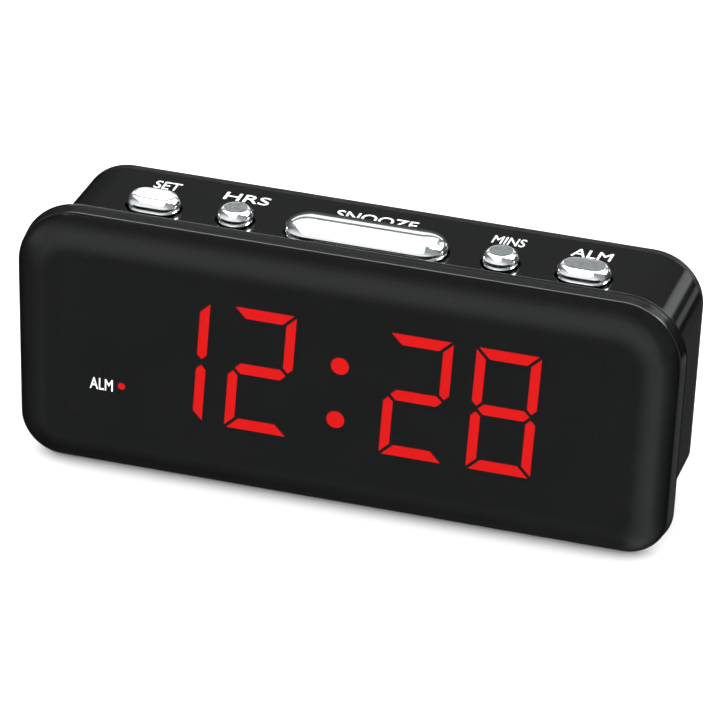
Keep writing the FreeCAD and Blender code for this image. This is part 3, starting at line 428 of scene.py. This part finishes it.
def white_ink():
    """Screen-printed ink, with small thin spots where the plastic shows through."""
    finish = Finish("white_ink", IOR=1.45)
    thin = finish.noise(0.16, 3).step(0.72, 0.86)
    finish.colour((0.90, 0.91, 0.91), (finish.noise(0.8, 3), (0.84, 0.85, 0.86)), (thin, (0.30, 0.30, 0.31)))
    finish.rough(0.42 + 0.2 * finish.noise(0.3))
    return finish.relief(finish.noise(0.14, 3), 0.004)


FINISHES = {
    maker.__name__: maker().material
    for maker in (
        smoked_lens, black_gloss, black_satin, chrome_plate, chrome_satin, module_black, red_light,
        red_dark, circuit_board, component_black, component_tan, capacitor_sleeve, tinned_steel,
        lamination, winding_tape, wire_red, ribbon_grey, rubber_black, white_ink,
    )
}


def finish_nodes():
    """Gives every CAD node the finish of its slot."""
    for subpart in frame["record"]["subparts"]:
        mesh = frame["nodes"][subpart["node"]].data
        mesh.materials.clear()
        mesh.materials.append(FINISHES[subpart["material_slot"]])


# ---------------------------------------------------------------- meshes


def in_scene(name, data):
    """A new object in the scene."""
    added = bpy.data.objects.new(name, data)
    bpy.context.scene.collection.objects.link(added)
    return added


def mesh_of(build, name, materials=()):
    """The finished mesh of a bmesh, with its materials."""
    mesh = bpy.data.meshes.new(name)
    build.to_mesh(mesh)
    build.free()
    for material in materials:
        mesh.materials.append(material)
    return mesh


def add_piece(name, mesh, body, replaced=()):
    """Shows a finished mesh as a piece that rides on a body."""
    piece = in_scene(name, mesh)
    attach(piece, body)
    if replaced:
        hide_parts(*replaced)
    return piece


def rounded(corners):
    """A section's points with its corners rounded. A corner is (across, along, radius)."""
    points = []
    for index, (across, along, radius) in enumerate(corners):
        here = Vector((across, along))
        before = (Vector(corners[index - 1][:2]) - here).normalized()
        after = (Vector(corners[(index + 1) % len(corners)][:2]) - here).normalized()
        half = before.angle(after) / 2
        if radius <= 0 or pi / 2 - half < NEARLY_STRAIGHT:
            points.append(here)
            continue
        centre = here + (before + after).normalized() * radius / sin(half)
        start, end = here + before * radius / tan(half), here + after * radius / tan(half)
        sweep = (start - centre).angle_signed(end - centre)
        for step in range(EDGE_STEPS + 1):
            turned = (start - centre).copy()
            turned.rotate(Matrix.Rotation(-sweep * step / EDGE_STEPS, 2))
            points.append(centre + turned)
    return points


def arc(start, sweep):
    """The angles of a round corner's points."""
    return [start + sweep * step / CORNER_STEPS for step in range(CORNER_STEPS + 1)]


def front_ring(inset, y):
    """The clock's outline from the front, drawn in by inset, as a ring of points at a depth."""
    top_x = HALF_WIDE - SIDE_SLOPE * CORNER_TOP - CORNER_TOP / cos(TILT)
    bottom_x = HALF_WIDE - SIDE_SLOPE * (TOP - BOTTOM - CORNER_BOTTOM) - CORNER_BOTTOM / cos(TILT)
    corners = (
        (top_x, TOP - CORNER_TOP, CORNER_TOP, -TILT, pi / 2),
        (-top_x, TOP - CORNER_TOP, CORNER_TOP, pi / 2, pi + TILT),
        (-bottom_x, BOTTOM + CORNER_BOTTOM, CORNER_BOTTOM, pi + TILT, 1.5 * pi),
        (bottom_x, BOTTOM + CORNER_BOTTOM, CORNER_BOTTOM, 1.5 * pi, 2 * pi - TILT),
    )
    ring = []
    for x, z, radius, start, end in corners:
        for angle in arc(start, end - start):
            ring.append(Vector((x + (radius - inset) * cos(angle), y, z + (radius - inset) * sin(angle))))
    return ring


def slot_ring(centre, long, wide, inset, z):
    """A round-ended slot's outline on the level, drawn in by inset."""
    radius = wide / 2 - inset
    reach = (long - wide) / 2
    ring = []
    for side, start in ((1, -pi / 2), (-1, pi / 2)):
        for angle in arc(start, pi):
            x = centre.x + side * reach + radius * cos(angle)
            ring.append(Vector((x, centre.y + radius * sin(angle), z)))
    return ring


def bridge(name, rings, finishes, closed=False, flat_from=inf):
    """A smooth mesh through rings of points. A closed one joins its last ring to its first, an open one is
    capped at both ends. The faces from ring flat_from on, and the cap beyond them, take the second finish."""
    build = bmesh.new()
    loops = [[build.verts.new(point) for point in ring] for ring in rings]
    count = len(loops[0])
    for index in range(len(loops) if closed else len(loops) - 1):
        here, there = loops[index], loops[(index + 1) % len(loops)]
        for side in range(count):
            after = (side + 1) % count
            face = build.faces.new((here[side], here[after], there[after], there[side]))
            face.material_index = int(index >= flat_from)
    if not closed:
        build.faces.new(loops[0][::-1])
        cap = build.faces.new(loops[-1])
        cap.material_index = int(len(loops) > flat_from)
    bmesh.ops.remove_doubles(build, verts=build.verts, dist=WELD)
    bmesh.ops.recalc_face_normals(build, faces=build.faces)
    for face in build.faces:
        face.smooth = True
    mesh = mesh_of(build, name, [FINISHES[finish] for finish in finishes])
    mesh.set_sharp_from_angle(angle=SHARP_ANGLE)
    return mesh


# ---------------------------------------------------------------- front


def add_front_piece(name, section, finish, node, closed):
    """A piece that runs round the front's outline, with a section of (inset, depth, radius) corners."""
    rings = [front_ring(inset, y) for inset, y in rounded(section)]
    mesh = bridge(name, rings, [finish], closed)
    add_piece(name, mesh, "clock", [node])


def add_lens():
    """The smoked pillow: a flat middle, a rolled rim, a rounded edge at the seam and the hollow behind."""
    sweep = atan(RIM_WIDE / (RIM_RADIUS - RIM_DEEP))
    section = []
    for step in range(RIM_STEPS):
        angle = sweep * step / RIM_STEPS
        section.append((RIM_WIDE - RIM_RADIUS * sin(angle), FACE + RIM_RADIUS * (1 - cos(angle)), 0))
    section += [
        (0, LENS_BACK, EDGE_ROUND),
        (LIP_INSET, LENS_BACK, 0),
        (LIP_INSET, LIP_BACK, LIP_ROUND),
        (HOLLOW_INSET, LIP_BACK, LIP_ROUND),
        (HOLLOW_INSET, FACE + LENS_WALL, 0),
    ]
    add_front_piece("lens_shell", section, "smoked_lens", "front_lens", closed=False)


def add_frame():
    """The ring behind the lens: flared towards the back, with a bead and a groove before its rear edge."""
    section = [
        (0, SEAM, EDGE_ROUND),
        (-0.19 * MM, FRAME_BACK - 1.75 * MM, 2.0 * MM),  # where the flare grows steeper
        (-0.345 * MM, FRAME_BACK - 0.85 * MM, 0.10 * MM),  # the bead
        (-0.14 * MM, FRAME_BACK - 0.66 * MM, 0.05 * MM),  # the groove
        (FLARE, FRAME_BACK - 0.20 * MM, 0.12 * MM),  # the rear edge
        (FLARE + 0.20 * MM, FRAME_BACK, 0.05 * MM),
        (FRAME_OPENING, FRAME_BACK, 0),
        (FRAME_OPENING, SEAM, 0),
    ]
    add_front_piece("frame_ring", section, "black_gloss", "front_frame", closed=True)


# ---------------------------------------------------------------- keys

# Under the case's surface, a key has a round stem and a flange that is its widest part.
STEM_WIDE = 4.0 * MM
FLANGE_REACH, FLANGE_THICK = 1.0 * MM, 1.0 * MM
FLANGE_TOP = 2.35 * MM  # above the stem's end

# From the lip at the surface over the waist to the widest place: (inset, height over the surface), in
# millimetres.
SURFACE = top_z(0)
KEY_WAIST = (
    (0.3, -0.2), (0.3, 0.06), (0.37, 0.2), (0.5, 0.29), (0.56, 0.36),
    (0.34, 0.56), (0.12, 0.78), (0.02, 0.94),
)
WIDEST = SURFACE + 1.0 * MM

# Tops of the caps: how far they lean to the back, the flat on a small key, and where the bar's arch ends.
KEY_LEAN, BAR_LEAN = Vector((0, 0.35 * MM, 0)), Vector((0, 0.6 * MM, 0))
FLAT_INSET = 1.5 * MM
FLAT_DIP = 0.03 * MM  # below the rounded side's upper end
FLAT_EDGES = (0.10 * MM, 0.30 * MM)  # further in than FLAT_INSET
BAR_CLOSE = 0.97  # as a part of the bar's half width


class Cap:
    """A key, built ring by ring from its stem's end upwards, in the place and size of its CAD node."""

    def __init__(self, node):
        low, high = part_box(node)
        self.centre, self.top = (low + high) / 2, high.z
        self.long, self.wide = high.x - low.x - 2 * FLANGE_REACH, high.y - low.y - 2 * FLANGE_REACH
        flange_top = low.z + FLANGE_TOP
        flange_low = flange_top - FLANGE_THICK
        self.rings = [slot_ring(self.centre, STEM_WIDE, STEM_WIDE, 0, z) for z in (low.z, flange_low)]
        for inset, z in ((-FLANGE_REACH, flange_low), (-FLANGE_REACH, flange_top), (0, flange_top)):
            self.add_ring(inset, z)
        for inset, height in KEY_WAIST:
            self.add_ring(inset * MM, SURFACE + height * MM)

    def add_ring(self, inset, z, shift=Vector((0, 0, 0))):
        """One more ring: the cap's outline, drawn in by inset and moved by shift, at a height."""
        self.rings.append(slot_ring(self.centre + shift, self.long, self.wide, inset, z))

    def add_arch(self, profile, width, lean):
        """Rises from the widest place to the top and closes in by width, along a profile, while it leans."""
        for across, rise in profile:
            self.add_ring(width * across, WIDEST + (self.top - WIDEST) * rise, lean * rise)


def arch(power, start, steps):
    """Points of a quarter of an arch, as parts of its width and height: (in from the foot, up). A power of 2
    makes it round and a larger one squarer. The points are spaced by angle, from start in radians to the top.
    """
    for step in range(steps + 1):
        angle = start + (pi / 2 - start) * step / steps
        yield 1 - cos(angle) ** (2 / power), sin(angle) ** (2 / power)


def add_key(name, top_finish):
    """A small key: a fine lip at the case's surface, a waist over it, a rounded side and a flat on top."""
    cap = Cap(f"{name}_button")
    cap.add_arch(arch(power=2.0, start=0.03, steps=18), FLAT_INSET, KEY_LEAN)
    flat_from = len(cap.rings) - 1
    for edge in FLAT_EDGES:
        cap.add_ring(FLAT_INSET + edge, cap.top - FLAT_DIP, KEY_LEAN)
    mesh = bridge(f"{name}_cap", cap.rings, ["chrome_plate", top_finish], flat_from=flat_from)
    return add_piece(f"{name}_cap", mesh, f"{name}_key", [f"{name}_button"])


def add_bar():
    """The long snooze bar: the same lip and waist, then a squarish arch that ends in a narrow flat."""
    cap = Cap("snooze_button")
    profile = [point for point in arch(power=2.3, start=0.004, steps=40) if point[0] < BAR_CLOSE]
    cap.add_arch(profile, cap.wide / 2, BAR_LEAN)
    mesh = bridge("snooze_cap", cap.rings, ["chrome_plate"])
    return add_piece("snooze_cap", mesh, "snooze_key", ["snooze_button"])


# ---------------------------------------------------------------- printing

CURVE_FINENESS = 6
SLIVER = 1e-6  # faces below this area are faults of the letters' mesh
UNION_GAP = 1e-6
INSIDE_ONLY = 1  # the kind of result that leaves out what lies outside the outlines
DIRECTIONS = 8
FLAT_ANGLE = 0.02  # in radians: edges that bend less than this are dissolved

# The words at the keys: text, place along X in millimetres, and how much wider than the font's they are.
TOP_WORDS = (
    ("SET", -50.8, 0.72),
    ("HRS", -31.8, 1.12),
    ("SNOOZE", -1.2, 0.86),
    ("MINS", 29.9, 0.62),
    ("ALM", 49.1, 0.86),
)
TOP_WORDS_Y = 11.6 * MM
TOP_CAPS_TALL, FACE_CAPS_TALL = 4.0 * MM, 2.9 * MM
TOP_STROKE_GROWTH, FACE_STROKE_GROWTH = 0.009, 0.006  # in the font's own units
FACE_WORD_X, FACE_WORD_Z = -55.3 * MM, 22.9 * MM
FACE_WORD_STRETCH = 0.70


def letter_shape(name, text):
    """The flat faces of a word's thin letters, in the font's own units: corners and faces."""
    curve = bpy.data.curves.new(name, "FONT")
    curve.body = text
    curve.align_x = "CENTER"
    curve.resolution_u = CURVE_FINENESS
    letters = in_scene(name, curve)
    bpy.context.view_layer.update()
    graph = bpy.context.evaluated_depsgraph_get()
    mesh = bpy.data.meshes.new_from_object(letters.evaluated_get(graph))
    bpy.data.objects.remove(letters)
    faces = [list(face.vertices) for face in mesh.polygons if face.area > SLIVER]
    return [vertex.co.xy for vertex in mesh.vertices], faces


def thicken(corners, faces, growth):
    """The shape grown outwards: the union of copies of it that are moved by growth in several directions."""
    spread, outlines = [], []
    for turn in range(DIRECTIONS):
        angle = turn * 2 * pi / DIRECTIONS
        move = Vector((cos(angle), sin(angle))) * growth
        outlines += [[len(spread) + index for index in face] for face in faces]
        spread += [corner + move for corner in corners]
    points, _, pieces, _, _, owners = delaunay_2d_cdt(spread, [], outlines, INSIDE_ONLY, UNION_GAP, True)
    return points, [piece for piece, owner in zip(pieces, owners) if owner]


def add_word(name, shape, centre, cap_height, stretch, across, up):
    """A printed word: a shape of letters, made cap_height tall about centre, that runs along across and
    stands along up."""
    points, faces = shape
    widths, heights = [point.x for point in points], [point.y for point in points]
    scale = cap_height / (max(heights) - min(heights))
    middle = Vector((max(widths) + min(widths), max(heights) + min(heights))) / 2
    build = bmesh.new()
    corners = []
    for point in points:
        flat = (point - middle) * scale
        corners.append(build.verts.new(centre + across * flat.x * stretch + up * flat.y))
    for face in faces:
        build.faces.new([corners[index] for index in face])
    bmesh.ops.dissolve_limit(build, angle_limit=FLAT_ANGLE, verts=build.verts, edges=build.edges)
    raised = bmesh.ops.extrude_face_region(build, geom=build.faces, use_keep_orig=True)["geom"]
    top = [item for item in raised if isinstance(item, bmesh.types.BMVert)]
    bmesh.ops.translate(build, vec=across.cross(up) * INK, verts=top)
    bmesh.ops.recalc_face_normals(build, faces=build.faces)
    add_piece(name, mesh_of(build, name, [FINISHES["white_ink"]]), "clock")


def add_top_words():
    """The row of words on the case's top, one at each key."""
    across, up = Vector((1, 0, 0)), Vector((0, 1, TOP_SLOPE)).normalized()
    for text, x, stretch in TOP_WORDS:
        name = f"word_{text.lower()}"
        shape = thicken(*letter_shape(name, text), TOP_STROKE_GROWTH)
        centre = Vector((x * MM, TOP_WORDS_Y, top_z(TOP_WORDS_Y)))
        add_word(name, shape, centre, TOP_CAPS_TALL, stretch, across, up)


def add_face_word():
    """The word on the lens beside the alarm dot."""
    across, up = Vector((1, 0, 0)), Vector((0, 0, 1))
    shape = thicken(*letter_shape("word_face", "ALM"), FACE_STROKE_GROWTH)
    centre = Vector((FACE_WORD_X, FACE, FACE_WORD_Z))
    add_word("word_face", shape, centre, FACE_CAPS_TALL, FACE_WORD_STRETCH, across, up)


# ---------------------------------------------------------------- studio

FLOOR_HALF = 4.0  # half its width
FLOOR_WHITE = 0.92
ROOM_LIGHT = 2.1
FAINT_LIGHT = 0.015  # mirrored from every direction
MIRRORED_TINT = (0.97, 1.0, 1.0, 1)

# Where the clock's flat face mirrors the camera's view to.
MIRRORED_VIEW = Vector((-0.246, -0.851, -0.464))

# Windows to the right of straight back: radiance, then (from, to, softness) in degrees, sideways and upright.
WINDOWS = (
    (24.0, (42, 75, 3), (30, 52, 3)),
    (1.0, (22, 46, 1.5), (23, 42, 2)),
    (1.1, (22, 36, 1), (2.5, 14, 0.8)),
    (0.4, (22, 36, 1), (-12, -5.5, 0.8)),
    (0.45, (32, 44, 4), (-36, -20, 3)),
    (0.12, (20, 31, 3), (-36, -20, 3)),
    (0.04, (6, 20, 3), (-36, -20, 3)),
)

# Cards above and behind the clock, as seen from its top: name, angle of the middle in degrees from the front
# horizon over the top, distance, degrees that it spans, and radiance.
CARDS = (
    ("card_above", 86, 0.63, 43, 1.15),
    ("card_behind", 125.5, 1.2, 35, 1.15),
    ("card_low", 154.5, 1.2, 8, 1.1),
)
CARD_WIDE = 1.3
CARD_SHIFT = -0.25  # sideways, as a part of the distance


def add_camera():
    """A long lens from the front right and above, rolled slightly."""
    target = Vector((-2.0, 4.55, 26.35)) * MM
    azimuth, elevation, roll = radians(16.1), radians(27.65), radians(1.93)
    distance = 1.41
    back = Vector((sin(azimuth) * cos(elevation), -cos(azimuth) * cos(elevation), sin(elevation)))
    right = Vector((cos(azimuth), sin(azimuth), 0))
    up = back.cross(right)
    side, rise = right * cos(roll) + up * sin(roll), up * cos(roll) - right * sin(roll)
    data = bpy.data.cameras.new("camera")
    data.sensor_width, data.lens = 36, 310.9  # millimetres
    camera = in_scene("camera", data)
    turn = Matrix((side, rise, back)).transposed()
    camera.matrix_world = Matrix.Translation(target + back * distance) @ turn.to_4x4()
    bpy.context.scene.camera = camera


def part_rays(tree, usual, mirrored, output):
    """Gives mirrored rays one shader and all other rays another."""
    path = tree.nodes.new("ShaderNodeLightPath")
    mix = tree.nodes.new("ShaderNodeMixShader")
    tree.links.new(path.outputs["Is Glossy Ray"], mix.inputs[0])
    tree.links.new(usual.outputs[0], mix.inputs[1])
    tree.links.new(mirrored.outputs[0], mix.inputs[2])
    tree.links.new(mix.outputs[0], tree.nodes[output].inputs[0])


def add_floor():
    """A pale floor. Mirrored rays pass through it, so that dark plastic mirrors the dim world below and not a
    bright floor."""
    material = bpy.data.materials.new("floor")
    material.use_nodes = True
    tree = material.node_tree
    pale = tree.nodes["Principled BSDF"]
    pale.inputs["Base Color"].default_value = (FLOOR_WHITE, FLOOR_WHITE, FLOOR_WHITE, 1)
    pale.inputs["Roughness"].default_value = 0.9
    pale.inputs["Specular IOR Level"].default_value = 0.0
    clear = tree.nodes.new("ShaderNodeBsdfTransparent")
    part_rays(tree, pale, clear, "Material Output")
    build = bmesh.new()
    corners = ((-1, -1), (1, -1), (1, 1), (-1, 1))
    build.faces.new([build.verts.new((x * FLOOR_HALF, y * FLOOR_HALF, 0)) for x, y in corners])
    floor = in_scene("floor", mesh_of(build, "floor", [material]))


def studio_sky(tree):
    """Radiance that glossy surfaces mirror, by direction. Angles are in degrees: turn from the mirrored view,
    height above the horizon, and away from straight back towards the right."""
    source = tree.nodes.new("ShaderNodeTexCoord")
    x, y, z = split(tree, source.outputs["Generated"])
    aligned = x * MIRRORED_VIEW.x + y * MIRRORED_VIEW.y + z * MIRRORED_VIEW.z
    turn = aligned.math("ARCCOSINE") * DEGREES
    height = z.math("ARCSINE") * DEGREES
    away = x.math("ARCTAN2", y) * DEGREES
    behind = y.step(0.0, 0.3)
    # A wide soft ring in front, with a dark middle for the flat face. It is weaker on the right and left, and
    # gone at the lower left.
    right_end = 1 - 0.65 * x.step(0.6, 0.88)
    left_end = 1 - 0.32 * x.step(-0.5, -0.8) * turn.bump(34, 64, 10)
    ring = turn.step(-6, 50) * turn.step(100, 56) * (x + z).step(-1.3, -0.7) * (right_end * left_end) * 0.71
    # The room under and over the horizon, darker towards the back.
    under = z.step(0.02, -0.05) * (0.27 - 0.265 * y.step(-0.7, 0.5)) * (1 - 0.6 * z.step(-0.5, -0.85))
    over = z.step(-0.05, 0.02) * y.step(0.2, -0.1) * 0.33
    # The wall behind, lighter with height in four soft steps, and a bright strip high on it.
    low_wall = 0.05 * height.step(-8, 2) + 0.12 * height.step(5, 28)
    wall = behind * (low_wall + 0.28 * height.step(29, 44) + 0.35 * height.step(44, 50))
    strip = behind * height.bump(54, 73, 3) * 13.0
    light = FAINT_LIGHT + ring + under + over + wall + strip
    for radiance, sideways, upright in WINDOWS:
        light += away.bump(*sideways) * height.bump(*upright) * radiance
    return light


def add_world():
    """Plain white for the camera and for matt surfaces, the studio for mirrored light."""
    world = bpy.data.worlds.new("studio")
    bpy.context.scene.world = world
    world.use_nodes = True
    world.cycles.sampling_method = "NONE"
    tree = world.node_tree
    plain = tree.nodes["Background"]
    plain.inputs["Color"].default_value = (1, 1, 1, 1)
    plain.inputs["Strength"].default_value = ROOM_LIGHT
    mirrored = tree.nodes.new("ShaderNodeBackground")
    mirrored.inputs["Color"].default_value = MIRRORED_TINT
    tree.links.new(studio_sky(tree).socket, mirrored.inputs["Strength"])
    part_rays(tree, plain, mirrored, "World Output")


def add_card(name, angle, distance, span, radiance, receivers):
    """A lit card over or behind the clock that only the receivers mirror."""
    tall = 2 * distance * tan(radians(span / 2))
    data = bpy.data.lights.new(name, "AREA")
    data.shape = "RECTANGLE"
    data.size, data.size_y = CARD_WIDE, tall
    data.energy = radiance * pi * CARD_WIDE * tall
    card = in_scene(name, data)
    direction = Vector((CARD_SHIFT, -cos(radians(angle)), sin(radians(angle))))
    card.location = Vector((0, 0, TOP)) + direction * distance
    card.rotation_euler = (-direction).to_track_quat("-Z", "Y").to_euler()
    linked = bpy.data.collections.new(f"{name}_receivers")
    for piece in receivers:
        linked.objects.link(piece)
    card.light_linking.receiver_collection = linked


# ---------------------------------------------------------------- making

add_camera()
add_floor()
add_world()
bpy.context.scene.view_settings.view_transform = "Standard"

finish_nodes()
add_lens()
add_frame()
chrome = [add_key(name, "chrome_satin") for name in ("hour", "minute", "alarm_set")]
chrome.append(add_key("time_set", "chrome_plate"))
chrome.append(add_bar())
# The gaps between the cards draw the fine dark lines on the bar.
for card in CARDS:
    add_card(*card, receivers=chrome)
add_top_words()
add_face_word()
